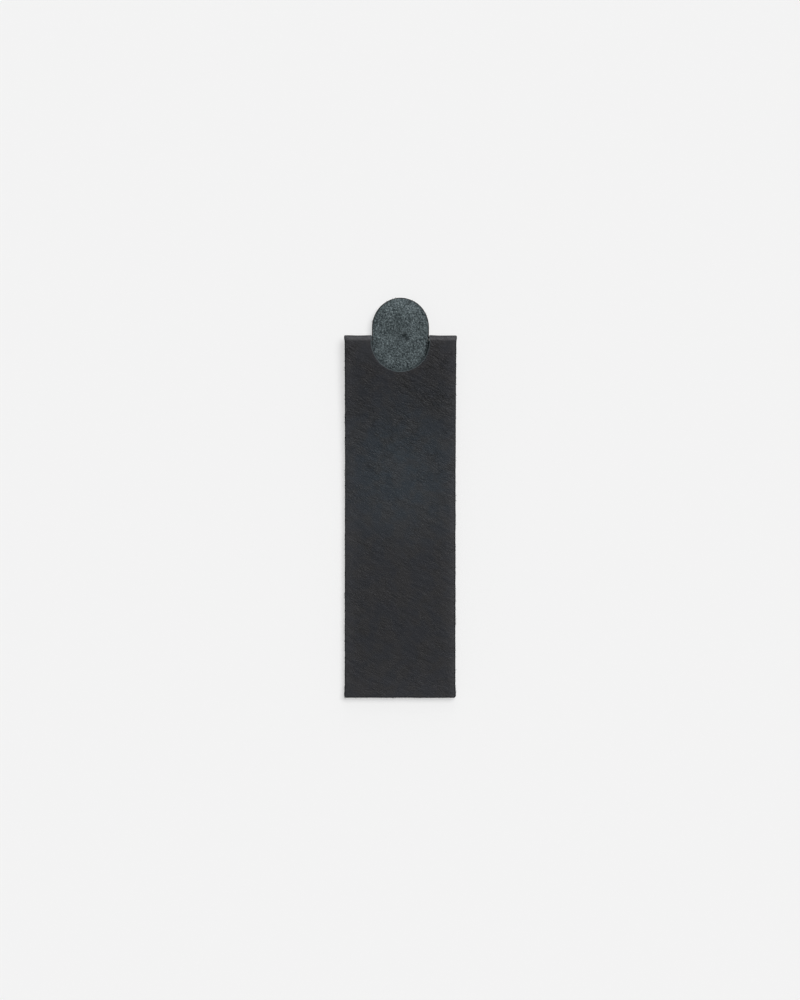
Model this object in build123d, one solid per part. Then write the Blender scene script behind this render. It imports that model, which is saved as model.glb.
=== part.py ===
from build123d import *
import math
import os

# A folding leather bookmark, in millimetres. X runs across the strip, Y along it towards the
# thumb tab, and Z up. It lies on its back leaf, with the origin under the middle of its outline.
#
# The bookmark is one strip of leather, doubled over with the flesh side in. An arched cut in the
# front half leaves a tongue behind, in line with the back leaf, when the strip is folded. Past
# the fold the tongue is the thumb tab, and the arch it came out of is a window in the front leaf.
# The fold, and the root of the tab, are where the leather bends in use, so they are pieces of
# their own between the runs that keep their shape.

# The leather
leather_thickness = 1.4
strip_width = 40.0
leaf_length = 130.2  # from the ridge of the fold to the foot of the leaves
foot_corner_radius = 0.9

# The fold. The grain side gives less than the flesh side, so the line in the leather that keeps
# its length round the fold lies nearer to the grain.
fold_inner_radius = 0.5
unstretched_share = 0.65  # of the thickness, from the flesh side
page_gap = 0.2  # between the leaves where both lie flat

# The thumb tab, and the cut around it
tab_width = 20.5
tab_reach = 13.45  # past the ridge of the fold
tab_bend_length = 4.0
cut_width = 0.15

# The curl that lifts the folded end off the table
curl_angle = 3.5
curl_length = 36.0  # along the underside of the back leaf
neck_length = 13.5  # from the curl to the root of the tab

cut_overrun = 1.0

# The fold's radii, and the leather that its half turn takes up
fold_outer_radius = fold_inner_radius + leather_thickness
unstretched_radius = fold_inner_radius + unstretched_share * leather_thickness
fold_allowance = math.pi * unstretched_radius

# The neck's direction, towards the tab, and the direction square to it, from back to front
slope = math.radians(curl_angle)
along = Vector(0, math.cos(slope), math.sin(slope))
outward = Vector(0, -math.sin(slope), math.cos(slope))
curl_radius = curl_length / slope

# Places along the strip: its foot, the ridge of the fold, and the underside of the tab's root
foot = -(leaf_length + tab_reach) / 2
ridge = foot + leaf_length
tab_root = Vector(
    0,
    ridge - fold_outer_radius * (1 - math.sin(slope)),
    curl_radius * (1 - math.cos(slope)) + neck_length * math.sin(slope),
)
fold_centre = tab_root + outward * fold_outer_radius
front_end = fold_centre + outward * fold_inner_radius

# The tongue as cut, and the window that it leaves
tab_length = (ridge + tab_reach - tab_root.Y) / math.cos(slope)
window_width = tab_width + 2 * cut_width
window_length = tab_length - fold_allowance + cut_width


def leaf_face_line(end, height, radius):
    """One face of a leaf seen from the side: flat at a height, then up the curl to its end."""
    neck = (end.Z - height) / math.sin(slope) - radius * math.tan(slope / 2)
    curl_end = end - along * neck
    curl_start = Vector(0, curl_end.Y - radius * math.sin(slope), height)
    half_way = Vector(0, math.sin(slope / 2), 1 - math.cos(slope / 2)) * radius
    return [
        Line(Vector(0, foot, height), curl_start),
        ThreePointArc(curl_start, curl_start + half_way, curl_end),
        Line(curl_end, end),
    ]


def leaf(end, height):
    """A full-width leaf whose lower face starts flat at a height and runs up to its end."""
    lower = leaf_face_line(end, height, curl_radius)
    upper = leaf_face_line(
        end + outward * leather_thickness,
        height + leather_thickness,
        curl_radius - leather_thickness,
    )
    foot_edge = Line(lower[0] @ 0, upper[0] @ 0)
    end_edge = Line(lower[-1] @ 1, upper[-1] @ 1)
    section = make_face([*lower, *upper, foot_edge, end_edge])
    sheet = extrude(section, amount=strip_width / 2, dir=(1, 0, 0), both=True)
    foot_corners = sheet.edges().filter_by(Axis.Z).group_by(Axis.Y)[0]
    return fillet(foot_corners, foot_corner_radius)


def arched_outline(width, start, reach):
    """A straight-sided outline with a half-round end, from a start to its reach along Y."""
    half_width = width / 2
    shoulder = reach - half_width
    return make_face(
        [
            Line((-half_width, start), (half_width, start)),
            Line((half_width, start), (half_width, shoulder)),
            ThreePointArc((half_width, shoulder), (0, reach), (-half_width, shoulder)),
            Line((-half_width, shoulder), (-half_width, start)),
        ]
    )


def make_front_leaf():
    """The leaf on top, with the window that the tongue leaves at its folded end."""
    window_plane = Plane(origin=front_end, x_dir=(-1, 0, 0), z_dir=outward)
    outline = window_plane * arched_outline(window_width, -cut_overrun, window_length)
    window = extrude(outline, amount=leather_thickness + cut_overrun, both=True)
    return leaf(front_end, leather_thickness + page_gap) - window


def make_tongue():
    """The whole tongue, which goes on from the back leaf in line with its neck."""
    tongue_plane = Plane(origin=tab_root, x_dir=(1, 0, 0), z_dir=outward)
    return extrude(
        tongue_plane * arched_outline(tab_width, 0, tab_length),
        amount=leather_thickness,
    )


def fold_turn(radius):
    """A half turn round the fold, from the back leaf to the front leaf."""
    side = outward * radius
    return ThreePointArc(fold_centre - side, fold_centre + along * radius, fold_centre + side)


def make_fold_strip():
    """The half-round strip that joins the leaves on the right of the tab."""
    inner = fold_turn(fold_inner_radius)
    outer = fold_turn(fold_outer_radius)
    section = make_face([inner, outer, Line(inner @ 0, outer @ 0), Line(inner @ 1, outer @ 1)])
    strip = extrude(section, amount=(strip_width - window_width) / 2, dir=(1, 0, 0))
    return Pos(window_width / 2, 0, 0) * strip


tongue = make_tongue()
bend_end = Plane(origin=tab_root + along * tab_bend_length, z_dir=along)
fold_right = make_fold_strip()

pieces = {
    "back_leaf": leaf(tab_root, 0),
    "front_leaf": make_front_leaf(),
    "fold_left": mirror(fold_right, about=Plane.YZ),
    "fold_right": fold_right,
    "tab_bend": split(tongue, bisect_by=bend_end, keep=Keep.BOTTOM),
    "thumb_tab": split(tongue, bisect_by=bend_end, keep=Keep.TOP),
}

os.makedirs("parts", exist_ok=True)
for name, piece in pieces.items():
    export_step(piece, f"parts/{name}.step")

# The lines that the leather turns about. The fold opens at two creases, each by half. They lie so
# far out from its centre that a quarter turn at each lays the strip out flat at its true length.
crease_reach = along * (fold_allowance / 2 - unstretched_radius)
back_crease = fold_centre + crease_reach - outward * unstretched_radius
front_crease = fold_centre + crease_reach + outward * unstretched_radius
tab_crease = tab_root + along * (tab_bend_length / 2) + outward * (leather_thickness / 2)
print("the fold turns on the back leaf about", back_crease)
print("the front leaf turns on the fold about", front_crease)
print("the tab turns on the back leaf about", tab_crease)
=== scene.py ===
# %% [markdown]
# # A folding leather bookmark
#
# The bookmark is one strip of dark leather, doubled over with its flesh side in. An arched cut
# leaves a tongue that stays in line with the back leaf when the strip is folded: past the fold
# it is a thumb tab, suede side up. This lesson makes it the way its maker does. The blank is
# cut and finished while it lies flat, and only then folded.
#
# First the fixed frame is loaded. Everything below takes its place from it.

# %% Load the frame
import math
import random

import bmesh
import bpy
from mathutils import Matrix, Vector, noise


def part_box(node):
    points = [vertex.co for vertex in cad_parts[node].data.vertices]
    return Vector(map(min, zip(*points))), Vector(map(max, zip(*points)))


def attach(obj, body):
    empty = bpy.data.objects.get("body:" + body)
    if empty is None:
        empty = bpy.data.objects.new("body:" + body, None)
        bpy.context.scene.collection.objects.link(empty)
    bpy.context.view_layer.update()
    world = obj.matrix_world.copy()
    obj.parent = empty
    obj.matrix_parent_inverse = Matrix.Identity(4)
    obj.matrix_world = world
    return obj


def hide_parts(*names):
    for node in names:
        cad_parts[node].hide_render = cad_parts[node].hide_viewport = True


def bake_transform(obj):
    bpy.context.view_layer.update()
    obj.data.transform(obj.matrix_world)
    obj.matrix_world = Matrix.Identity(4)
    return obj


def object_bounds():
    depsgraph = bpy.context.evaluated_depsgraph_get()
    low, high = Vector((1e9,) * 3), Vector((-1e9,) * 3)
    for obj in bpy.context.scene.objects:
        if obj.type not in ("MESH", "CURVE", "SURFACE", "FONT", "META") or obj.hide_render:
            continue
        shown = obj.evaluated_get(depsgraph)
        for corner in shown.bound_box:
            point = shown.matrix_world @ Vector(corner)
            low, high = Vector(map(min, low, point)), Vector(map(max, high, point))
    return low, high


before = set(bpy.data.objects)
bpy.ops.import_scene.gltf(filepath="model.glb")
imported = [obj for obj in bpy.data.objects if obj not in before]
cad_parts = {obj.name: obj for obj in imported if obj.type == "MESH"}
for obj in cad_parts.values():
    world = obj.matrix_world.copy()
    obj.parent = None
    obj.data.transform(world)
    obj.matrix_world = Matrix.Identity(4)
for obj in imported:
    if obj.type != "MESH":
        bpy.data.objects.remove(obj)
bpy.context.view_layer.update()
back_low, back_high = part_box("back_leaf")
front_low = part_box("front_leaf")[0]
fold_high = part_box("fold_right")[1]
tab_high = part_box("thumb_tab")[1]

# %% [markdown]
# ## From the flat blank to the folded strip
#
# A mesh could be bent by a modifier, but a leaf that curls a little and a fold that turns by a
# half circle need exact places. So one function says where each point of the flat blank ends
# up. On the blank, x runs across the strip, y along it from the ridge of the fold towards the
# foot of the back leaf, and z up from the flesh side to the grain side.
#
# Round the fold the flesh side is squeezed and the grain side stretched. The layer in between
# that keeps its length sets how much leather the half turn takes up.

# %% Sizes of the leather, and the function that folds it
mm = 0.001
leather = 1.4 * mm
fold_inside = 0.5 * mm
unstretched_share = 0.65
curl_angle = math.radians(3.5)
curl_length = 36.0 * mm
cut_width = 0.15 * mm
arch_stretch = 1.05
tab_bend = 4.0 * mm
foot_corner = 0.9 * mm
edge_swell = 0.2 * mm
slit_swell = 0.12 * mm
ridge_dip = 0.15 * mm

half_strip = back_high.x
half_tab = tab_high.x
half_window = half_tab + cut_width
curl_radius = curl_length / curl_angle
fold_outside = fold_inside + leather
unstretched_radius = fold_inside + unstretched_share * leather
half_turn = unstretched_radius * math.pi / 2

along = Vector((0, math.cos(curl_angle), math.sin(curl_angle)))
outward = Vector((0, -math.sin(curl_angle), math.cos(curl_angle)))
fold_centre = Vector((0, fold_high.y - fold_outside, fold_high.z - fold_outside))
tab_root = fold_centre - outward * fold_outside
front_end = fold_centre + outward * fold_inside


def neck_of(end, height):
    """The straight run from a leaf's folded end to its curl, where the leaf lies at a height."""
    return (end.z - height) / math.sin(curl_angle) - curl_radius * math.tan(curl_angle / 2)


def leaf_point(run, lift, end, height):
    """A point of a leaf, a run away from its folded end and lifted off its lower face."""
    neck = neck_of(end, height)
    tilt = curl_angle - min(max(run - neck, 0), curl_length) / curl_radius
    up = Vector((0, -math.sin(tilt), math.cos(tilt)))
    spot = end - along * min(run, neck) + (outward - up) * curl_radius
    spot.y -= max(run - neck - curl_length, 0)
    return spot + up * lift


def leaf_run(end, height):
    """The length of a leaf's lower face, from its folded end to its foot."""
    neck = neck_of(end, height)
    return neck + curl_length + leaf_point(neck + curl_length, 0, end, height).y - back_low.y


def fold_swell(point):
    """At the fold the strip's edges swell sideways, and the ridge between them sinks in."""
    # The high powers keep each swell close to its own edge.
    out = min(max((abs(point.x) - half_window) / (half_strip - half_window), 0), 1)
    at_fold = math.exp(-((point.y / half_turn) ** 4))
    side = math.copysign(1, point.x)
    swell = edge_swell * out**4 - slit_swell * (1 - out) ** 8
    return (Vector((side * swell, 0, 0)) - along * ridge_dip * math.sin(math.pi * out)) * at_fold


def folded(point):
    """Where a point of the flat blank lies on the folded strip."""
    if point.y > half_turn:
        spot = leaf_point(point.y - half_turn, leather - point.z, tab_root, back_low.z)
    elif point.y < -half_turn:
        spot = leaf_point(-point.y - half_turn, point.z, front_end, front_low.z)
    else:
        turn = (half_turn - point.y) / unstretched_radius
        radius = fold_inside + point.z
        spot = fold_centre + along * radius * math.sin(turn) - outward * radius * math.cos(turn)
    return Vector((point.x, spot.y, spot.z)) + fold_swell(point)


def in_line(point):
    """Where a point of the tongue lies: it goes straight on from the back leaf."""
    spot = tab_root + along * (half_turn - point.y) + outward * (leather - point.z)
    return Vector((point.x, spot.y, spot.z))


back_foot = half_turn + leaf_run(tab_root, back_low.z)
front_foot = -half_turn - leaf_run(front_end, front_low.z)
tab_tip = half_turn - (tab_high.y - tab_root.y) / math.cos(curl_angle)
tab_base = half_turn - tab_bend
window_floor = tab_tip - cut_width
print(f"flat blank: {2 * half_strip / mm:.1f} x {(back_foot - front_foot) / mm:.1f} mm")

# %% [markdown]
# ## Cutting the blank
#
# Every zone that moves by itself is cut as a sheet of its own: the two leaves, four strips of
# the fold, the root of the tab and the tab. A sheet starts as a grid, because the relief of the
# leather needs points all over it, and each point of the grid is then moved to its place. The
# grids meet point for point along the lines where the leather bends, so that no crack shows.

# %% A helper that lays out a sheet
side_cells = 24
tab_cells = 25
fold_rows = 20


def lay_sheet(name, columns, rows, place):
    """Adds a grid of so many columns and rows, and moves each point to place(column, row)."""
    bpy.ops.object.select_all(action="DESELECT")
    bpy.ops.mesh.primitive_grid_add(x_subdivisions=columns, y_subdivisions=rows)
    sheet = bpy.context.object
    sheet.name = sheet.data.name = name
    for index, point in enumerate(sheet.data.vertices):
        row, column = divmod(index, columns + 1)
        point.co = (*place(column, row), 0)
    return sheet


def mix(a, b, share):
    """The value or the place that lies at a share of the way from a to b."""
    return a + (b - a) * share


def join_sheets(first, second):
    """Joins two sheets into the first one, and merges the points where they meet."""
    bpy.ops.object.select_all(action="DESELECT")
    first.select_set(True)
    second.select_set(True)
    bpy.context.view_layer.objects.active = first
    bpy.ops.object.join()
    bpy.ops.object.mode_set(mode="EDIT")
    bpy.ops.mesh.select_all(action="SELECT")
    bpy.ops.mesh.remove_doubles(threshold=0.001 * mm)
    bpy.ops.object.mode_set(mode="OBJECT")
    return first


def round_corner(x, y, foot):
    """Draws a point near a foot corner in, so that the square corner becomes a round one."""
    across = (abs(x) - half_strip) / foot_corner + 1
    down = 1 - abs(y - foot) / foot_corner
    if min(across, down) <= 0:
        return x, y
    inner_x = half_strip - foot_corner + foot_corner * across * math.sqrt(1 - down * down / 2)
    inner_y = foot_corner * (1 - down * math.sqrt(1 - across * across / 2))
    return math.copysign(inner_x, x), foot - math.copysign(inner_y, foot)


print("each strip of the fold is laid out in", side_cells, "x", fold_rows, "cells")


# %% [markdown]
# The back leaf is a plain rectangle. Its columns are spaced so that some of them run into the
# ends of the arched cut, which the fold strips and the tongue share.

# %% The back leaf
side_lines = [mix(half_window, half_strip, k / side_cells) for k in range(side_cells + 1)]
tab_lines = [mix(-half_tab, half_tab, k / tab_cells / 2) for k in range(2 * tab_cells + 1)]
back_lines = [-x for x in reversed(side_lines)] + tab_lines + side_lines
leaf_rows = 260


def place_on_back(column, row):
    return round_corner(back_lines[column], mix(half_turn, back_foot, row / leaf_rows), back_foot)


back_leaf = lay_sheet("back_leaf_leather", len(back_lines) - 1, leaf_rows, place_on_back)
print(back_leaf.name, len(back_leaf.data.polygons), "faces")

# %% [markdown]
# The front leaf has the arched window at its folded end. Cutting an arch out of a square grid
# would leave ragged cells along it, so a second grid is wrapped round the arch: its last row
# lies on the arch, and its first row on three sides of the leaf.

# %% The front leaf, with the window wrapped in cells of its own
wrap_reach = 11.0 * mm
wrap_line = window_floor - wrap_reach
wrap_side_cells = 40
front_columns = 100
arch_centre = window_floor + half_window * arch_stretch
arch_side = -half_turn - arch_centre
arch_length = math.pi * half_window + 2 * arch_side
wrap_cells = front_columns + 2 * wrap_side_cells


def place_on_front(column, row):
    x = mix(-half_strip, half_strip, column / front_columns)
    return round_corner(x, mix(front_foot, wrap_line, row / leaf_rows), front_foot)


def arch_point(share):
    """A point of the window's edge, at a share of the way from its left end to its right."""
    run = share * arch_length - arch_side
    turn = min(max(run / half_window, 0), math.pi)
    straight = max(-run, 0, run - math.pi * half_window)
    depth = half_window * arch_stretch * math.sin(turn)
    return Vector((-half_window * math.cos(turn), arch_centre - depth + straight))


def rim_point(cell):
    """A point on the three sides of the leaf that the wrapped grid starts from."""
    beyond = cell - wrap_side_cells
    x = mix(-half_strip, half_strip, min(max(beyond / front_columns, 0), 1))
    outside = max(-beyond, 0, beyond - front_columns) / wrap_side_cells
    return Vector((x, mix(wrap_line, -half_turn, outside)))


def place_round_window(column, row):
    return mix(rim_point(column), arch_point(column / wrap_cells), row / side_cells)


front_leaf = join_sheets(
    lay_sheet("front_leaf_leather", front_columns, leaf_rows, place_on_front),
    lay_sheet("window_cells", wrap_cells, side_cells, place_round_window),
)
print(front_leaf.name, len(front_leaf.data.polygons), "faces")

# %% [markdown]
# Each half of the fold is a strip of its own on either side of the tab, because the fold opens
# at two lines, one for each leaf. The tongue is cut in two as well: its root, which bends, and
# the tab, whose half-round end is a grid turned about the middle of its shoulder.

# %% The fold strips and the tongue
tab_shoulder = tab_tip + half_tab * arch_stretch
shoulder_rows = 2
root_rows = 16


def lay_fold_strip(side, leaf, end):
    """A strip of the fold, left or right of the tab, from the ridge to the leaf it joins."""
    lines = side_lines if side == "right" else [-x for x in reversed(side_lines)]
    start, stop = sorted((0, end))

    def place(column, row):
        return lines[column], mix(start, stop, row / fold_rows)

    return lay_sheet(f"fold_{side}_{leaf}", side_cells, fold_rows, place)


def place_on_root(column, row):
    return tab_lines[column], mix(tab_base, half_turn, row / root_rows)


def place_on_shoulder(column, row):
    return tab_lines[column], mix(tab_shoulder, tab_base, row / shoulder_rows)


def place_on_tip(column, row):
    turn = math.pi * column / (4 * tab_cells)
    radius = half_tab * (1 - row / tab_cells)
    return -radius * math.cos(turn), tab_shoulder - radius * arch_stretch * math.sin(turn)


fold_strips = {
    (side, leaf): lay_fold_strip(side, leaf, end)
    for side in ("left", "right")
    for leaf, end in (("back", half_turn), ("front", -half_turn))
}
tab_root_piece = lay_sheet("tab_root_leather", 2 * tab_cells, root_rows, place_on_root)
thumb_tab = join_sheets(
    lay_sheet("thumb_tab_leather", 2 * tab_cells, shoulder_rows, place_on_shoulder),
    lay_sheet("tip_cells", 4 * tab_cells, tab_cells, place_on_tip),
)
for sheet in (*fold_strips.values(), tab_root_piece, thumb_tab):
    print(sheet.name, len(sheet.data.polygons), "faces")

# %% [markdown]
# ## Thickness, edges and relief
#
# A Solidify modifier gives each sheet the thickness of the leather. The knife leaves a crisp
# edge on the flesh side and drags the grain side a little round, so the rim of the grain side
# gets the wider bevel. Rims are found by their faces, one level and one upright, and the lines
# where a piece joins the next are left square.
#
# No hide is quite even. A slow wander moves the cut edges by a few hundredths of a millimetre,
# the grain side has shallow creases, and the flesh side a lumpy nap. All of it is a function of
# the place on the blank, so it runs on from piece to piece.

# %% Helpers that finish a flat piece
grain_bevel = 0.34 * mm
flesh_bevel = 0.28 * mm
bevel_steps = 3
edge_layers = (0.5 * mm, 0.72 * mm, 0.92 * mm)
near = 0.01 * mm
level_enough = 0.99
grain_slot, flesh_slot, rim_slot, raw_slot = range(4)


def select_rim(piece, height, seams):
    """In edit mode, selects the edges round one face of a flat piece, apart from its seams."""
    mesh = bmesh.from_edit_mesh(piece.data)
    for edge in mesh.edges:
        ends = [corner.co for corner in edge.verts]
        level = [abs(face.normal.z) for face in edge.link_faces]
        on_seam = any(all(abs(end.y - seam) < near for end in ends) for seam in seams)
        at_height = all(abs(end.z - height) < near for end in ends)
        edge.select_set(at_height and not on_seam and min(level) < 0.5 < max(level))
    bmesh.update_edit_mesh(piece.data)


def give_thickness(piece, seams):
    """Thickens a flat sheet, scores layers into its cut edges, and bevels its rims."""
    bpy.ops.object.select_all(action="DESELECT")
    piece.select_set(True)
    bpy.context.view_layer.objects.active = piece
    thicken = piece.modifiers.new("thickness", "SOLIDIFY")
    thicken.thickness = leather
    thicken.offset = 1
    bpy.ops.object.modifier_apply(modifier=thicken.name)
    bpy.ops.object.mode_set(mode="EDIT")
    bpy.ops.mesh.select_mode(type="EDGE")
    for layer in edge_layers:
        bpy.ops.mesh.select_all(action="SELECT")
        bpy.ops.mesh.bisect(plane_co=(0, 0, layer), plane_no=(0, 0, 1))
    for height, width in ((leather, grain_bevel), (0, flesh_bevel)):
        bpy.ops.mesh.select_all(action="DESELECT")
        select_rim(piece, height, seams)
        bpy.ops.mesh.bevel(offset=width, segments=bevel_steps, affect="EDGES")
    bpy.ops.object.mode_set(mode="OBJECT")


def mark_sides(piece):
    """Marks each face as grain, flesh, dark outer rim or the raw rim of the window."""
    reach = grain_bevel + near
    for face in piece.data.polygons:
        beside = abs(face.center.x) < half_window + reach
        by_window = beside and window_floor - reach < face.center.y < half_turn + near
        if face.normal.z > level_enough:
            face.material_index = grain_slot
        elif face.normal.z < -level_enough:
            face.material_index = flesh_slot
        elif by_window and piece not in (tab_root_piece, thumb_tab):
            face.material_index = raw_slot
        else:
            face.material_index = rim_slot


print(f"rims: {grain_bevel / mm:.2f} mm round by the grain, {flesh_bevel / mm:.2f} by the flesh side")

# %% [markdown]
# The relief moves points in code, with Blender's own noise, because two neighbouring pieces
# have to agree on it to the last digit where they meet. The long edges draw in by about a tenth
# of a millimetre between the fold and the foot, and the knife has pressed them down a little.

# %% Relief of the hide
# The cut edges: how they wander, draw in and are pressed down
wander_size = 7.0 * mm
wander_depth = 0.07 * mm
waist_depth = 0.13 * mm
waist_start = 40.0 * mm
waist_end = 2.8 * mm
foot_flare = 2.1 * mm
droop_reach = 2.4 * mm
droop_depth = 0.12 * mm
fibre_size = 0.6 * mm
fibre_depth = 0.05 * mm

# The grain side
swell_size = 16.0 * mm
swell_depth = 0.05 * mm
crease_length = 5.0 * mm
crease_width = 1.3 * mm
crease_depth = 0.03 * mm
crease_angle = math.radians(-28)
crease_turn = Matrix.Rotation(-crease_angle, 3, "Z")

# The flesh side, with a few pits in the nap near the root of the tab
nap_size = 1.1 * mm
nap_depth = 0.10 * mm
pit_places = (
    Vector((1.25, 0.35, 0)) * mm,
    Vector((2.3, 1.6, 0)) * mm,
    Vector((-0.5, -6.8, 0)) * mm,
    Vector((-0.6, -2.0, 0)) * mm,
)
pit_reaches = (0.95 * mm, 0.85 * mm, 0.8 * mm, 3.0 * mm)
pit_depths = (0.22 * mm, 0.14 * mm, 0.10 * mm, 0.04 * mm)


def grain_relief(spot):
    """Height of the grain side: slow swells, long creases, and the edges that were pressed down."""
    turned = crease_turn @ spot
    crease = noise.noise(Vector((turned.x / crease_length, turned.y / crease_width, 0)))
    pressed = max(1 - (half_strip - abs(spot.x)) / droop_reach, 0) ** 2
    swell = noise.noise(spot / swell_size)
    return swell_depth * swell + crease_depth * crease - droop_depth * pressed


def nap_relief(spot):
    """Height of the flesh side, which looks down on the flat blank: clumps of nap, and pits."""
    pits = sum(
        depth * math.exp(-((spot - place).length / reach) ** 2)
        for place, reach, depth in zip(pit_places, pit_reaches, pit_depths)
    )
    return pits + nap_depth * noise.fractal(spot / nap_size, 1.0, 2.0, 3)


def wander(spot):
    """How far a hand-cut outline strays at a place, and how the long edges draw in."""
    from_foot = abs(front_foot if spot.y < 0 else back_foot) - abs(spot.y)
    waist = min(abs(spot.y) / waist_start, (from_foot - foot_flare) / waist_end, 1)
    waist *= (spot.x / half_strip) ** 3
    stray = Vector((noise.noise(spot / wander_size), noise.noise(spot.yxz / wander_size), 0))
    return stray * wander_depth - Vector((waist * waist_depth, 0, 0))


def add_relief(piece, seams):
    """Makes a flat piece as uneven as a hide, and keeps its seams in step with its neighbours."""
    normals = [point.normal.copy() for point in piece.data.vertices]
    for point, normal in zip(piece.data.vertices, normals):
        spot = Vector((point.co.x, point.co.y, 0))
        on_seam = any(abs(point.co.y - seam) < near for seam in seams)
        if point.co.z > leather - grain_bevel:
            point.co.z += grain_relief(spot)
        elif point.co.z < flesh_bevel:
            point.co.z += nap_relief(spot)
        elif not on_seam:
            point.co += normal * fibre_depth * noise.noise(point.co / fibre_size)
        point.co += wander(spot)


print(f"relief: creases {crease_depth / mm:.2f} mm and nap {nap_depth / mm:.2f} mm deep")

# %% [markdown]
# Each flat piece gets its thickness, then a mark on each face for its finish, then its relief.
# The seams are the lines where it joins the next piece, by their place along the blank.

# %% Finish the flat pieces
seams_of = {
    back_leaf: (half_turn,),
    front_leaf: (-half_turn,),
    tab_root_piece: (half_turn, tab_base),
    thumb_tab: (tab_base,),
}
for (side, leaf), strip in fold_strips.items():
    seams_of[strip] = (0, half_turn if leaf == "back" else -half_turn)
for piece, seams in seams_of.items():
    give_thickness(piece, seams)
    mark_sides(piece)
    add_relief(piece, seams)
    print(piece.name, len(piece.data.polygons), "faces")

# %% [markdown]
# **Loose fibres.** A knife leaves tufts of fibre standing out of the cut edges, up to three
# quarters of a millimetre long. Hair particles would show as well, but a mesh goes with its piece
# wherever that is used. So one fibre is modelled from a three-sided cone and bent over.

# %% One fibre
fibre_taper = 0.35
fibre_joints = (0.35, 0.7)
fibre_bend = 6  # how far its tip bends over, in radii


def model_fibre():
    """One fibre, with a radius and a length of one, that the tufts are copied from."""
    bpy.ops.object.select_all(action="DESELECT")
    bpy.ops.mesh.primitive_cone_add(
        vertices=3, radius1=1, radius2=fibre_taper, depth=1, location=(0, 0, 0.5)
    )
    bpy.ops.object.transform_apply(location=True)
    fibre = bpy.context.object
    fibre.name = "fibre"
    bpy.ops.object.mode_set(mode="EDIT")
    for height in fibre_joints:
        bpy.ops.mesh.select_all(action="SELECT")
        bpy.ops.mesh.bisect(plane_co=(0, 0, height), plane_no=(0, 0, 1))
    bpy.ops.object.mode_set(mode="OBJECT")
    for point in fibre.data.vertices:
        point.co.x += fibre_bend * point.co.z**2
    for face in fibre.data.polygons:
        face.material_index = rim_slot
    return fibre


fibre = model_fibre()
print(fibre.name, len(fibre.data.polygons), "faces")

# %% [markdown]
# The fibre is copied in tufts to chance places along the leaves' outer edges and the rim of the
# tab. The places are the same at each run, because the dice are seeded. Fibres lean to the flesh
# side, where the leather is loose.

# %% Tufts along the cut edges
fibre_lengths = (0.3 * mm, 0.75 * mm)
fibre_radii = (0.025 * mm, 0.045 * mm)
fibre_lean = 0.55
most_in_tuft = 11
tuft_spread = 0.22 * mm
tuft_spacing = 2.2 * mm
tuft_heights = (0.1, 0.7)  # as shares of the thickness, from the flesh side
dice = random.Random(11)


def tuft(root, outwards):
    """Places for the fibres of one tuft, which stand out of a cut edge."""
    for _ in range(dice.randint(1, most_in_tuft)):
        strays = Vector((dice.gauss(0, 1), dice.gauss(0, 1), -abs(dice.gauss(0, 1))))
        place = root + outwards.cross(Vector((0, 0, 1))) * tuft_spread * strays.x
        lean = (outwards + fibre_lean * strays).to_track_quat("Z", "X")
        radius = dice.uniform(*fibre_radii)
        yield Matrix.LocRotScale(place, lean, (radius, radius, dice.uniform(*fibre_lengths)))


def along_edge(edge_point, length):
    """Tufts at chance places along an edge. edge_point(run) gives a place and its way out."""
    run = dice.expovariate(1 / tuft_spacing)
    while run < length:
        spot, outwards = edge_point(run)
        root = spot + wander(spot) - outwards * flesh_bevel
        root.z = leather * dice.uniform(*tuft_heights)
        yield from tuft(root, outwards)
        run += dice.expovariate(1 / tuft_spacing)


def leaf_side(side, foot):
    """The long edge of a leaf on one side, from the fold to the foot."""
    way = math.copysign(1, foot)

    def edge_point(run):
        return Vector((side * half_strip, way * (half_turn + run), 0)), Vector((side, 0, 0))

    return along_edge(edge_point, abs(foot) - half_turn - foot_corner)


def leaf_foot(foot):
    """The short edge at the foot of a leaf."""

    def edge_point(run):
        return Vector((run - half_strip, foot, 0)), Vector((0, math.copysign(1, foot), 0))

    return along_edge(edge_point, 2 * half_strip)


def tab_rim(run):
    """A place on the round end of the tab, and its way out."""
    outwards = Vector((-math.cos(run / half_tab), -math.sin(run / half_tab), 0))
    reach = outwards * half_tab * Vector((1, arch_stretch, 1))
    return Vector((0, tab_shoulder, 0)) + reach, outwards


def plant(piece, fibre, places):
    """Adds a copy of the fibre to a piece at each place."""
    mesh = bmesh.new()
    mesh.from_mesh(piece.data)
    for place in places:
        copy = fibre.data.copy()
        copy.transform(place)
        mesh.from_mesh(copy)
        bpy.data.meshes.remove(copy)
    mesh.to_mesh(piece.data)
    mesh.free()
    print(piece.name, "has", len(places), "loose fibres")


for leaf, foot in ((front_leaf, front_foot), (back_leaf, back_foot)):
    plant(leaf, fibre, [*leaf_side(-1, foot), *leaf_side(1, foot), *leaf_foot(foot)])
plant(thumb_tab, fibre, list(along_edge(tab_rim, math.pi * half_tab)))
bpy.data.objects.remove(fibre)

# %% [markdown]
# ## Finishes
#
# Colours are written as sRGB hex values, as a colour picker gives them, and one function turns
# them to the linear values that Blender mixes light in. Another small function adds a node with
# its settings and links. The patterns read each point's place on the flat blank, kept as an
# attribute named hide, so they follow the leather round the fold and stay put when it opens.

# %% Helpers for the finishes
mix_a, mix_b, mix_out = 6, 7, 2  # the colour sockets of a Mix node


def colour(hex_code):
    """A linear colour from an sRGB hex value such as 32A0F0."""
    shares = [int(hex_code[k : k + 2], 16) / 255 for k in (0, 2, 4)]
    return (*(s / 12.92 if s <= 0.04045 else ((s + 0.055) / 1.055) ** 2.4 for s in shares), 1)


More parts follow.
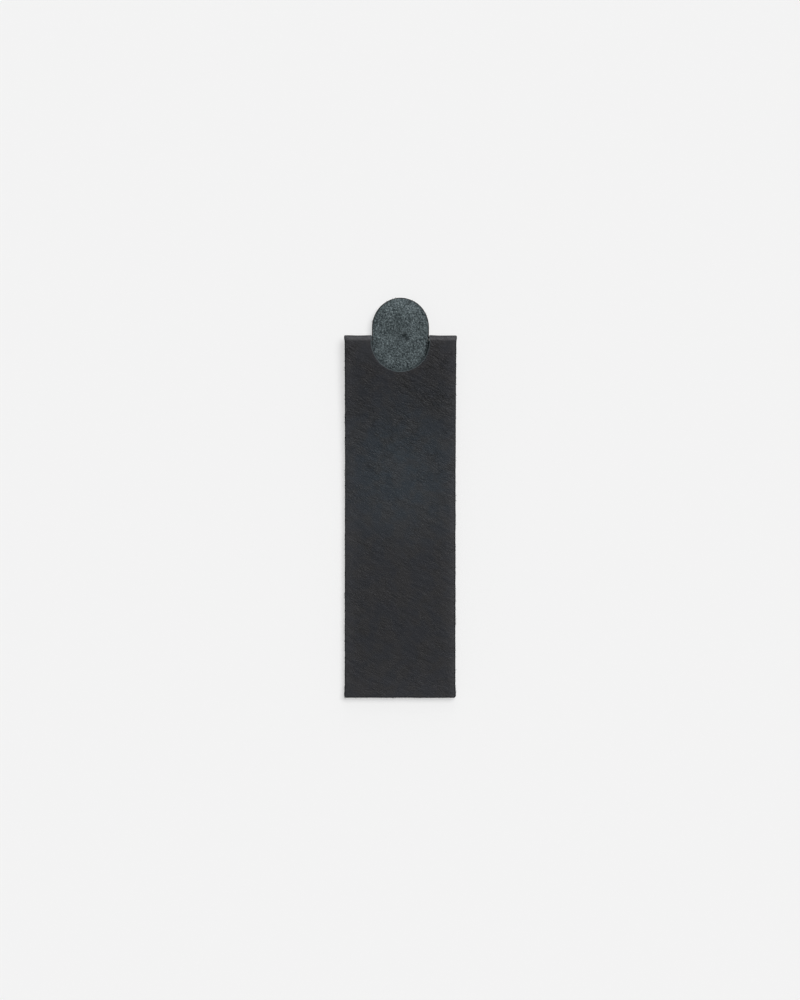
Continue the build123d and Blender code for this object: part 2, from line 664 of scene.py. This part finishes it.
def add(tree, kind, inputs, **settings):
    """Adds a shader node, sets its properties, and fills or links its inputs."""
    made = tree.nodes.new("ShaderNode" + kind)
    for name, value in settings.items():
        setattr(made, name, value)
    for socket, value in inputs.items():
        if isinstance(value, bpy.types.NodeSocket):
            tree.links.new(value, made.inputs[socket])
        else:
            made.inputs[socket].default_value = value
    return made.outputs


def start_finish(name, shader_inputs):
    """A new material, its tree, and its shader's sockets, set where a value is the same all over."""
    finish = bpy.data.materials.new(name)
    finish.use_nodes = True
    tree = finish.node_tree
    shader = tree.nodes["Principled BSDF"]
    for socket, value in shader_inputs.items():
        shader.inputs[socket].default_value = value
    return finish, tree, shader.inputs


print("mid grey, 808080, is", round(colour("808080")[0], 3), "in linear light")

# %% [markdown]
# **Grain side.** Full-grain leather, drum-dyed a soft black and lightly waxed. To the eye it is
# a dull sheen over fine pebbles, creases and a few long wrinkles. The pebbles come from a Voronoi
# texture, whose cells meet in lines as the skin's own do, and the rest from noise that is drawn
# out along one slanting direction. Creases in a hide don't run straight, so a slow noise bends
# all of them about.

# %% Marks of the skin
bend_size = 14.0 * mm
bend_reach = 5.0 * mm
pebble_size = 0.9 * mm
pebble_drawn = (1.2, 0.86, 1.0)
pebble_edge = 0.35
fine_crease_size = (2.0 * mm, 0.85 * mm, 2.0 * mm)
wrinkle_size = (8.0 * mm, 2.6 * mm, 8.0 * mm)
wrinkle_width = 0.06
speck_size = 0.42 * mm


def draw_marks(tree, hide):
    """Pebbles, creases, wrinkles and specks of the grain side, each lower where it is sunk."""
    bend = add(tree, "TexNoise", {"Vector": hide, "Scale": 1 / bend_size, "Detail": 1})["Color"]
    bent = add(
        tree,
        "VectorMath",
        {0: bend, 1: (bend_reach, bend_reach, 0), 2: hide},
        operation="MULTIPLY_ADD",
    )["Vector"]
    drawn, slant, stretched = (
        add(
            tree,
            "Mapping",
            {"Vector": bent, "Rotation": (0, 0, crease_angle), "Scale": size},
            vector_type="TEXTURE",
        )["Vector"]
        for size in (pebble_drawn, fine_crease_size, wrinkle_size)
    )

    # The pebbles are drawn about twice their real width, so that they show from a step away.
    # A noise pushes the places about first, because no two pebbles have straight sides.
    push = add(tree, "TexNoise", {"Vector": drawn, "Scale": 1 / pebble_size, "Detail": 2})["Color"]
    pushed = add(
        tree,
        "VectorMath",
        {0: push, 1: (pebble_size, pebble_size, pebble_size), 2: drawn},
        operation="MULTIPLY_ADD",
    )["Vector"]
    cells = add(
        tree, "TexVoronoi", {"Vector": pushed, "Scale": 1 / pebble_size}, feature="DISTANCE_TO_EDGE"
    )["Distance"]
    pebbles = add(
        tree, "MapRange", {"Value": cells, "From Max": pebble_edge}, interpolation_type="SMOOTHSTEP"
    )["Result"]
    creases = add(
        tree, "TexNoise", {"Vector": slant, "Scale": 1, "Detail": 1, "Distortion": 1.4}
    )["Fac"]

    # A wrinkle runs along the line where a drawn-out noise passes its middle value.
    waves = add(
        tree, "TexNoise", {"Vector": stretched, "Scale": 1, "Detail": 2, "Distortion": 0.5}
    )["Fac"]
    off_line = add(tree, "Math", {0: waves, 1: 0.5}, operation="SUBTRACT")["Value"]
    off_line = add(tree, "Math", {0: off_line}, operation="ABSOLUTE")["Value"]
    wrinkles = add(
        tree,
        "MapRange",
        {"Value": off_line, "From Max": wrinkle_width},
        interpolation_type="SMOOTHSTEP",
    )["Result"]
    specks = add(tree, "TexNoise", {"Vector": drawn, "Scale": 1 / speck_size, "Detail": 2})["Fac"]
    return pebbles, creases, wrinkles, specks


print(f"pebbles {pebble_size / mm:.2f} mm and specks {speck_size / mm:.2f} mm wide")

# %% [markdown]
# ** Dye, paling and a painted highlight.** Dye takes unevenly, so it wanders from a warm to a cool black, and a cooler, paler tone lies over the middle of the front leaf. The shoulders of the fold, beside its ridge, are painted paler as a painted highlight, where the curve of the fold catches the light. The grain is also paler a little behind the fold, along the long edges and at the foot. Each of these is a ramp over the place on the blank, and the strongest one counts.

# %% Dye, paling and painted highlight
tint_size = 4.5 * mm
cast_place = Vector((0, -48, 0)) * mm
cast_reach = 38.0 * mm
# Paler bands along the long edges, at the foot and just behind the fold
edge_paling_reach = 7.0 * mm
edge_paling_share = 0.3
foot_paling_reach = 16.0 * mm
foot_paling_share = 0.12
neck_paling_reach = 16.0 * mm
neck_paling_share = 0.2
# Where the painted highlight lies on the shoulders of the fold, as distances from the ridge
ridge_edge = (0.2 * half_turn, 0.55 * half_turn)
shoulder_edge = (0.6 * half_turn, 1.3 * half_turn)


def lay_dye(tree, hide):
    """The colour of the dye all over the blank, before it is paled and highlighted."""
    # A cooler, paler tone over the middle of the front leaf
    away = add(tree, "VectorMath", {0: hide, 1: cast_place}, operation="DISTANCE")["Value"]
    cast = add(
        tree,
        "MapRange",
        {"Value": away, "From Max": cast_reach, "To Min": 1, "To Max": 0},
        interpolation_type="SMOOTHSTEP",
    )["Result"]
    tint = add(tree, "TexNoise", {"Vector": hide, "Scale": 1 / tint_size, "Detail": 2})["Fac"]
    warm = add(tree, "MapRange", {"Value": tint, "From Min": 0.4, "From Max": 0.6})["Result"]
    plain, middle_tone = (
        add(
            tree, "Mix", {0: warm, mix_a: colour(cooler), mix_b: colour(warmer)}, data_type="RGBA"
        )[mix_out]
        for cooler, warmer in (("1D1F24", "222224"), ("262E35", "2B2F33"))
    )
    return add(tree, "Mix", {0: cast, mix_a: plain, mix_b: middle_tone}, data_type="RGBA")[mix_out]


def pale_and_highlight(tree, across, from_ridge):
    """How far the grain is paled at a distance from the middle line and from the ridge. On the
    shoulders of the fold this is a painted highlight. Along the long edges, at the foot and just behind
    the fold the grain is paler too.
    """
    edge_paling = add(
        tree,
        "MapRange",
        {"Value": across, "From Min": half_strip - edge_paling_reach, "From Max": half_strip},
    )["Result"]
    edge_paling = add(tree, "Math", {0: edge_paling, 1: 2}, operation="POWER")["Value"]
    edge_paling = add(tree, "Math", {0: edge_paling, 1: edge_paling_share}, operation="MULTIPLY")["Value"]
    foot_paling, neck_paling, shoulder_highlight, off_ridge_highlight = (
        add(
            tree,
            "MapRange",
            {"Value": from_ridge, "From Min": start, "From Max": end, "To Min": first, "To Max": last},
            interpolation_type="SMOOTHSTEP",
        )["Result"]
        for start, end, first, last in (
            (-front_foot - foot_paling_reach, -front_foot, 0, foot_paling_share),
            (0, neck_paling_reach, neck_paling_share, 0),
            (*shoulder_edge, 1, 0),
            (*ridge_edge, 0, 1),
        )
    )
    # Painted highlight: a pale band on the shoulders of the fold, kept off its very ridge
    paling_and_highlight = add(tree, "Math", {0: shoulder_highlight, 1: off_ridge_highlight}, operation="MULTIPLY")["Value"]
    for paled in (edge_paling, foot_paling, neck_paling):
        paling_and_highlight = add(tree, "Math", {0: paling_and_highlight, 1: paled}, operation="MAXIMUM")["Value"]
    return paling_and_highlight


# The painted highlight on the fold is fullest between these distances from the ridge
print(f"most worn {ridge_edge[1] / mm:.2f} to {shoulder_edge[0] / mm:.2f} mm from the ridge")

# %% [markdown]
# The marks now shade the dye. Mottle and specks vary its tone, while pebbles, creases and wrinkles are
# painted darker in their sunk lines, as painted shade, and paler on their tops, as painted light. The
# marks also roughen the surface. They come out in patches, and less towards the foot, because the
# leather is worked most near the fold.

# %% Dyed full-grain leather
pebble_depth = 0.035 * mm
fine_crease_depth = 0.02 * mm
wrinkle_depth = 0.025 * mm
mottle_size = 2.2 * mm
crease_patch_size = 9.0 * mm
smooth_start = 35.0 * mm
smooth_end = 75.0 * mm
marks_at_foot = 0.55
fewest_marks = 0.5
most_marks = 1.3
paled_and_highlit_grain = "464649"
waxed_roughness = 0.42
dull_roughness = 0.62


def make_grain_leather():
    finish, tree, shader = start_finish(
        "dyed_full_grain_leather", {"IOR": 1.5, "Specular IOR Level": 0.2}
    )
    hide = add(tree, "Attribute", {}, attribute_name="hide")["Vector"]
    place = add(tree, "SeparateXYZ", {"Vector": hide})
    across = add(tree, "Math", {0: place["X"]}, operation="ABSOLUTE")["Value"]
    from_ridge = add(tree, "Math", {0: place["Y"]}, operation="ABSOLUTE")["Value"]
    pebbles, creases, wrinkles, specks = draw_marks(tree, hide)
    mottle = add(tree, "TexNoise", {"Vector": hide, "Scale": 1 / mottle_size, "Detail": 3})["Fac"]
    dye = lay_dye(tree, hide)
    paling_and_highlight = pale_and_highlight(tree, across, from_ridge)
    # The dye is mixed towards a paler grey: a painted highlight on the fold, and paler bands elsewhere
    paled_and_highlit = add(tree, "Mix", {0: paling_and_highlight, mix_a: dye, mix_b: colour(paled_and_highlit_grain)}, data_type="RGBA")[mix_out]

    # Each pattern, its own lowest and highest value, and the darkest and palest shade it gives. For
    # pebbles, creases and wrinkles the darkest is painted shade in the sunk lines, and the palest is
    # painted light on the tops.
    shades = (
        (pebbles, 0, 1, 0.8, 1.05),
        (mottle, 0.3, 0.7, 0.85, 1.15),
        (specks, 0.3, 0.7, 0.9, 1.1),
        (creases, 0.35, 0.6, 0.76, 1.08),
        (wrinkles, 0, 1, 0.84, 1.03),
    )
    depth = 1
    for pattern, low, high, darkest, palest in shades:
        shade = add(
            tree,
            "MapRange",
            {"Value": pattern, "From Min": low, "From Max": high, "To Min": darkest, "To Max": palest},
        )["Result"]
        depth = add(tree, "Math", {0: depth, 1: shade}, operation="MULTIPLY")["Value"]
    worked = add(
        tree,
        "MapRange",
        {
            "Value": from_ridge,
            "From Min": smooth_start,
            "From Max": smooth_end,
            "To Min": 1,
            "To Max": marks_at_foot,
        },
        interpolation_type="SMOOTHSTEP",
    )["Result"]
    show = add(tree, "TexNoise", {"Vector": hide, "Scale": 1 / crease_patch_size, "Detail": 1})["Fac"]
    creased = add(
        tree,
        "MapRange",
        {
            "Value": show,
            "From Min": 0.35,
            "From Max": 0.65,
            "To Min": fewest_marks,
            "To Max": most_marks,
        },
    )["Result"]
    creased = add(tree, "Math", {0: creased, 1: worked}, operation="MULTIPLY")["Value"]
    # Painted shade in the sunk lines of the relief and painted light on its tops, with the tone of
    # mottle and specks
    shaded = add(tree, "HueSaturation", {"Fac": creased, "Value": depth, "Color": paled_and_highlit})["Color"]
    tree.links.new(shaded, shader["Base Color"])

    gloss = add(
        tree,
        "MapRange",
        {
            "Value": specks,
            "From Min": 0.3,
            "From Max": 0.7,
            "To Min": waxed_roughness,
            "To Max": dull_roughness,
        },
    )["Result"]
    tree.links.new(gloss, shader["Roughness"])
    skin = add(
        tree, "Bump", {"Height": pebbles, "Distance": pebble_depth, "Strength": creased}
    )["Normal"]
    skin = add(
        tree, "Bump", {"Height": creases, "Distance": fine_crease_depth, "Normal": skin}
    )["Normal"]
    skin = add(
        tree,
        "Bump",
        {"Height": wrinkles, "Distance": wrinkle_depth, "Strength": creased, "Normal": skin},
    )["Normal"]
    tree.links.new(skin, shader["Normal"])
    return finish


grain_leather = make_grain_leather()
print(grain_leather.name, "has", len(grain_leather.node_tree.nodes), "nodes")

# %% [markdown]
# **Flesh side.** Suede: the raw back of the hide, dyed with it and brushed. Its nap lies in
# clumps and brushed strands, pale where the fibres lean towards the light and dark between them,
# with dark dots where it is thin and pale flecks where single fibres catch the light. Hair would
# be heavy over a whole strip, so noise at the size of the clumps stands for it.

# %% Nap
clump_size = 0.75 * mm
strand_size = (0.8 * mm, 0.32 * mm, 0.8 * mm)
strand_angle = math.radians(55)
dot_size = 1.0 * mm
dot_shade = -0.08
patch_size = 3.5 * mm
patch_share = 0.3
nap_contrast = 2
fleck_size = 0.55 * mm
fleck_share = 0.55


def brush_nap(tree, hide):
    """The height of the nap, and the colour that it gives the dyed flesh side."""
    clumps = add(
        tree, "TexNoise", {"Vector": hide, "Scale": 1 / clump_size, "Detail": 4, "Roughness": 0.7}
    )["Fac"]
    brushed = add(
        tree,
        "Mapping",
        {"Vector": hide, "Rotation": (0, 0, strand_angle), "Scale": strand_size},
        vector_type="TEXTURE",
    )["Vector"]
    strands = add(
        tree, "TexNoise", {"Vector": brushed, "Scale": 1, "Detail": 2, "Distortion": 1.8}
    )["Fac"]
    nap = add(tree, "Math", {0: clumps, 1: strands}, operation="ADD")["Value"]
    spots = add(tree, "TexVoronoi", {"Vector": hide, "Scale": 1 / dot_size}, feature="F1")["Distance"]
    dots = add(
        tree,
        "MapRange",
        {"Value": spots, "From Min": 0.1, "From Max": 0.38, "To Min": dot_shade, "To Max": 0},
    )["Result"]
    dotted = add(tree, "Math", {0: nap, 1: dots}, operation="ADD")["Value"]
    patches = add(tree, "TexNoise", {"Vector": hide, "Scale": 1 / patch_size, "Detail": 1})["Fac"]
    patched = add(
        tree, "Math", {0: patches, 1: patch_share, 2: dotted}, operation="MULTIPLY_ADD"
    )["Value"]
    pale = add(tree, "MapRange", {"Value": patched, "From Min": 0.8, "From Max": 1.5})["Result"]
    pale = add(tree, "Math", {0: pale, 1: nap_contrast}, operation="POWER")["Value"]
    dye = add(
        tree, "Mix", {0: pale, mix_a: colour("1A2124"), mix_b: colour("8C999C")}, data_type="RGBA"
    )[mix_out]
    flecks = add(tree, "TexNoise", {"Vector": hide, "Scale": 1 / fleck_size, "Detail": 1})["Fac"]
    flecked = add(
        tree, "MapRange", {"Value": flecks, "From Min": 0.58, "From Max": 0.76, "To Max": fleck_share}
    )["Result"]
    dye = add(
        tree, "Mix", {0: flecked, mix_a: dye, mix_b: colour("A3B1B4")}, data_type="RGBA"
    )[mix_out]
    return nap, dye


print(f"nap in clumps of {clump_size / mm:.2f} mm, flecks of {fleck_size / mm:.2f} mm")

# %% [markdown]
# Suede has hardly any gloss, but a sheen lifts it at a slant. The nap is darker along the rim of the
# tab, and darker still along the rim of the window, where the darkening is painted shade of the crevice
# under the front leaf. Use has left its traces: the tip of the tab is rubbed pale, and the pits are
# dark.

# %% Brushed suede
suede_depth = 0.15 * mm
# How far and how strongly the suede is darkened along its rims; in the window this is painted shade
rim_darkening_reach = 1.4 * mm
tab_rim_darkening = 0.2
window_painted_shade = 0.4
rubbed_place = Vector((0, -13, 0)) * mm
rubbed_reach = 9.0 * mm
rubbed_shade = 1.34
unrubbed_shade = 0.85
pit_shades = (0.85, 0.5, 0.45, 0.25)
pit_shade_reach = 1.7  # times the reach of the pit


def make_suede():
    finish, tree, shader = start_finish(
        "brushed_suede",
        {
            "Roughness": 0.95,
            "Specular IOR Level": 0.1,
            "Sheen Weight": 0.2,
            "Sheen Roughness": 0.5,
            "Sheen Tint": colour("A9BCC0"),
        },
    )
    hide = add(tree, "Attribute", {}, attribute_name="hide")["Vector"]
    nap, dye = brush_nap(tree, hide)

    # The distance to the rim. Past the shoulder it is measured on the round end, drawn out as it is.
    place = add(tree, "SeparateXYZ", {"Vector": hide})
    from_ridge = add(tree, "Math", {0: place["Y"]}, operation="ABSOLUTE")["Value"]
    past_shoulder = add(
        tree,
        "MapRange",
        {
            "Value": from_ridge,
            "From Min": -tab_shoulder,
            "From Max": tab_shoulder - 2 * tab_tip,
            "To Max": 2 * half_tab,
        },
    )["Result"]
    from_middle = add(tree, "CombineXYZ", {"X": place["X"], "Y": past_shoulder})["Vector"]
    to_rim = add(tree, "VectorMath", {0: from_middle}, operation="LENGTH")["Value"]
    to_rim = add(tree, "Math", {0: to_rim, 1: half_tab}, operation="SUBTRACT")["Value"]
    to_rim = add(tree, "Math", {0: to_rim}, operation="ABSOLUTE")["Value"]
    # The nap is darkened along the rim: a little round the tab, and more in the window, as painted
    # shade
    rim_darkening_share = add(
        tree,
        "MapRange",
        {
            "Value": place["Y"],
            "From Min": -half_turn,
            "From Max": half_turn,
            "To Min": tab_rim_darkening,
            "To Max": window_painted_shade,
        },
    )["Result"]
    rim_darkening = add(
        tree, "MapRange", {"Value": to_rim, "From Max": rim_darkening_reach, "To Min": rim_darkening_share, "To Max": 0}
    )["Result"]
    dye = add(tree, "Mix", {0: rim_darkening, mix_a: dye, mix_b: colour("12181B")}, data_type="RGBA")[mix_out]

    away = add(tree, "VectorMath", {0: hide, 1: rubbed_place}, operation="DISTANCE")["Value"]
    paled = add(
        tree,
        "MapRange",
        {"Value": away, "From Max": rubbed_reach, "To Min": rubbed_shade, "To Max": unrubbed_shade},
    )["Result"]
    dye = add(tree, "HueSaturation", {"Value": paled, "Color": dye})["Color"]
    for pit, reach, darkest in zip(pit_places, pit_reaches, pit_shades):
        away = add(tree, "VectorMath", {0: hide, 1: pit}, operation="DISTANCE")["Value"]
        shade = add(
            tree,
            "MapRange",
            {"Value": away, "From Max": pit_shade_reach * reach, "To Min": darkest, "To Max": 0},
            interpolation_type="SMOOTHSTEP",
        )["Result"]
        dye = add(
            tree, "Mix", {0: shade, mix_a: dye, mix_b: colour("0E1315")}, data_type="RGBA"
        )[mix_out]
    tree.links.new(dye, shader["Base Color"])
    relief = add(tree, "Bump", {"Height": nap, "Distance": suede_depth})["Normal"]
    tree.links.new(relief, shader["Normal"])
    return finish


suede = make_suede()
print(suede.name, "has", len(suede.node_tree.nodes), "nodes")

# %% [markdown]
# **Cut edges.** The raw section of the hide shows fine layers that run along the edge. The outer
# rim has gone dark and close with handling. The rim of the window is sheltered, so it has kept
# the paler look of the fresh cut. Both are one recipe in two shades.

# %% Cut edges
layer_size = (2.5 * mm, 2.5 * mm, 0.16 * mm)
layer_depth = 0.05 * mm


def make_cut_edge(name, deep, pale):
    finish, tree, shader = start_finish(name, {"Roughness": 0.85, "Specular IOR Level": 0.15})
    hide = add(tree, "Attribute", {}, attribute_name="hide")["Vector"]
    drawn = add(
        tree, "Mapping", {"Vector": hide, "Scale": layer_size}, vector_type="TEXTURE"
    )["Vector"]
    layers = add(tree, "TexNoise", {"Vector": drawn, "Scale": 1, "Detail": 4})["Fac"]
    dye = add(
        tree, "Mix", {0: layers, mix_a: colour(deep), mix_b: colour(pale)}, data_type="RGBA"
    )[mix_out]
    tree.links.new(dye, shader["Base Color"])
    relief = add(tree, "Bump", {"Height": layers, "Distance": layer_depth})["Normal"]
    tree.links.new(relief, shader["Normal"])
    return finish


handled_edge = make_cut_edge("handled_cut_edge", "0C0D0E", "1E2022")
fresh_edge = make_cut_edge("fresh_cut_edge", "2C3033", "50585B")
print(handled_edge.name, "and", fresh_edge.name, "made")

# %% [markdown]
# The finishes go on while the pieces are flat. The faces were marked before the relief moved
# them, so each finish only has to take its slot.

# %% Put the finishes on
finishes = {
    grain_slot: grain_leather,
    flesh_slot: suede,
    rim_slot: handled_edge,
    raw_slot: fresh_edge,
}
smooth_angle = math.radians(40)


def dress(piece):
    """Gives a flat piece its finishes, and keeps its flat places for the patterns."""
    for slot in sorted(finishes):
        piece.data.materials.append(finishes[slot])
    hide = piece.data.attributes.new("hide", "FLOAT_VECTOR", "POINT")
    for point, kept in zip(piece.data.vertices, hide.data):
        kept.vector = point.co
    bpy.ops.object.select_all(action="DESELECT")
    piece.select_set(True)
    bpy.context.view_layer.objects.active = piece
    bpy.ops.object.shade_smooth_by_angle(angle=smooth_angle)


for piece in seams_of:
    dress(piece)
    print(piece.name, [slot.name for slot in piece.material_slots])

# %% [markdown]
# ## Folding
#
# The strips of the fold and the root of the tab bend when the bookmark is used. Here they are only
# baked in place, and the parts of the CAD model that they stand for are hidden. Then every point goes
# to its place on the folded strip.

# %% Fold the strip, and hand the leaves and the tab to their bodies
for (side, leaf), strip in fold_strips.items():
    if leaf == "back":
        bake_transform(strip)
    else:
        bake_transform(strip)
    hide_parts(f"fold_{side}")
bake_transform(tab_root_piece)
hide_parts("tab_bend")

for piece in seams_of:
    shape = in_line if piece in (tab_root_piece, thumb_tab) else folded
    for point in piece.data.vertices:
        point.co = shape(point.co)
    piece.data.update()

for piece, body in ((back_leaf, "back_leaf"), (front_leaf, "front_leaf"), (thumb_tab, "thumb_tab")):
    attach(piece, body)
    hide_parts(body)
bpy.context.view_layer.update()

# %% [markdown]
# ## The stage
#
# The bookmark lies on a pale, matt floor that has no edge in view. Paint alone would go grey in
# the shadows, so to the eye, and in reflections, the floor has a share of its own light. That
# share counts only for rays that come from the camera or from a glossy or clear surface, so it
# throws no light on matt leather.

# %% Floor
floor_size = 60.0
floor_paint = "F3F3F3"
own_light_share = 0.58


def make_floor_paint():
    """Matt paint that keeps its shadows pale."""
    finish, tree, shader = start_finish("matt_floor_paint", {"Roughness": 1, "Specular IOR Level": 0})
    shader["Base Color"].default_value = colour(floor_paint)
    rays = add(tree, "LightPath", {})
    seen = rays["Is Camera Ray"]
    for kind in ("Is Glossy Ray", "Is Transmission Ray"):
        seen = add(tree, "Math", {0: seen, 1: rays[kind]}, operation="MAXIMUM")["Value"]
    share = add(tree, "Math", {0: seen, 1: own_light_share}, operation="MULTIPLY")["Value"]
    glow = add(tree, "Emission", {"Color": colour(floor_paint)})["Emission"]
    lit = tree.nodes["Principled BSDF"].outputs["BSDF"]
    paint = add(tree, "MixShader", {0: share, 1: lit, 2: glow})["Shader"]
    tree.links.new(paint, tree.nodes["Material Output"].inputs["Surface"])
    return finish


bpy.ops.object.select_all(action="DESELECT")
bpy.ops.mesh.primitive_plane_add(size=floor_size, location=(0, 0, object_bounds()[0].z))
floor = bpy.context.object
floor.name = "floor"
floor.data.materials.append(make_floor_paint())
print(f"{floor.name} at {floor.location.z / mm:.2f} mm")

# %% [markdown]
# The light is soft and plain. A large key light stands to the upper right, as a window does, and
# a weak one shines in low from beyond the tab and picks out the rims. Both are sun lamps with a
# wide disc, which light the floor evenly however far it reaches. The room round them is dim, with
# a pale backdrop near the horizon that gives the leather something to reflect.

# %% Room and lamps
key_strength = 2.7
key_height = math.radians(62)
key_bearing = math.radians(38)
key_width = math.radians(38)
rim_strength = 0.45
rim_height = math.radians(22)
rim_bearing = math.radians(5)
rim_width = math.radians(36)
room_light = 0.17
backdrop_light = 0.9
backdrop_top = 0.1
room_start = 0.25

room = bpy.data.worlds.new("room")
room.use_nodes = True
way_up = add(room.node_tree, "TexCoord", {})["Generated"]
level = add(room.node_tree, "SeparateXYZ", {"Vector": way_up})["Z"]
light = add(
    room.node_tree,
    "MapRange",
    {
        "Value": level,
        "From Min": backdrop_top,
        "From Max": room_start,
        "To Min": backdrop_light,
        "To Max": room_light,
    },
    interpolation_type="SMOOTHSTEP",
)["Result"]
background = room.node_tree.nodes["Background"].inputs
room.node_tree.links.new(light, background["Strength"])
background["Color"].default_value = (1, 1, 1, 1)
bpy.context.scene.world = room


def add_softbox(name, strength, height, bearing, width):
    """A far lamp with a wide disc. Height is up from the floor, bearing from +Y towards +X."""
    level = math.cos(height)
    way = Vector((level * math.sin(bearing), level * math.cos(bearing), math.sin(height)))
    bpy.ops.object.light_add(type="SUN", location=way)
    lamp = bpy.context.object
    lamp.name = name
    lamp.data.energy = strength
    lamp.data.angle = width
    lamp.rotation_euler = way.to_track_quat("Z", "Y").to_euler()
    print(lamp.name, "with strength", strength)


add_softbox("key_light", key_strength, key_height, key_bearing, key_width)
add_softbox("rim_light", rim_strength, rim_height, rim_bearing, rim_width)

# %% [markdown]
# The camera looks straight down through a long lens, so that the sides of the leather hardly
# show. Its distance follows from the height of the view. The Standard view transform keeps the
# colours as they are written, with no film curve over them.

# %% Camera
view_height = 359.0 * mm
view_centre = Vector((-0.1, -0.8, 3.0)) * mm
view_roll = math.radians(0.08)
lens = 100.0
bpy.ops.object.camera_add(location=view_centre, rotation=(0, 0, view_roll))
camera = bpy.context.object
camera.data.lens = lens
camera.location.z += view_height * lens / camera.data.sensor_width
bpy.context.scene.camera = camera
bpy.context.scene.view_settings.view_transform = "Standard"
print(f"camera {camera.location.z / mm:.0f} mm above the floor")
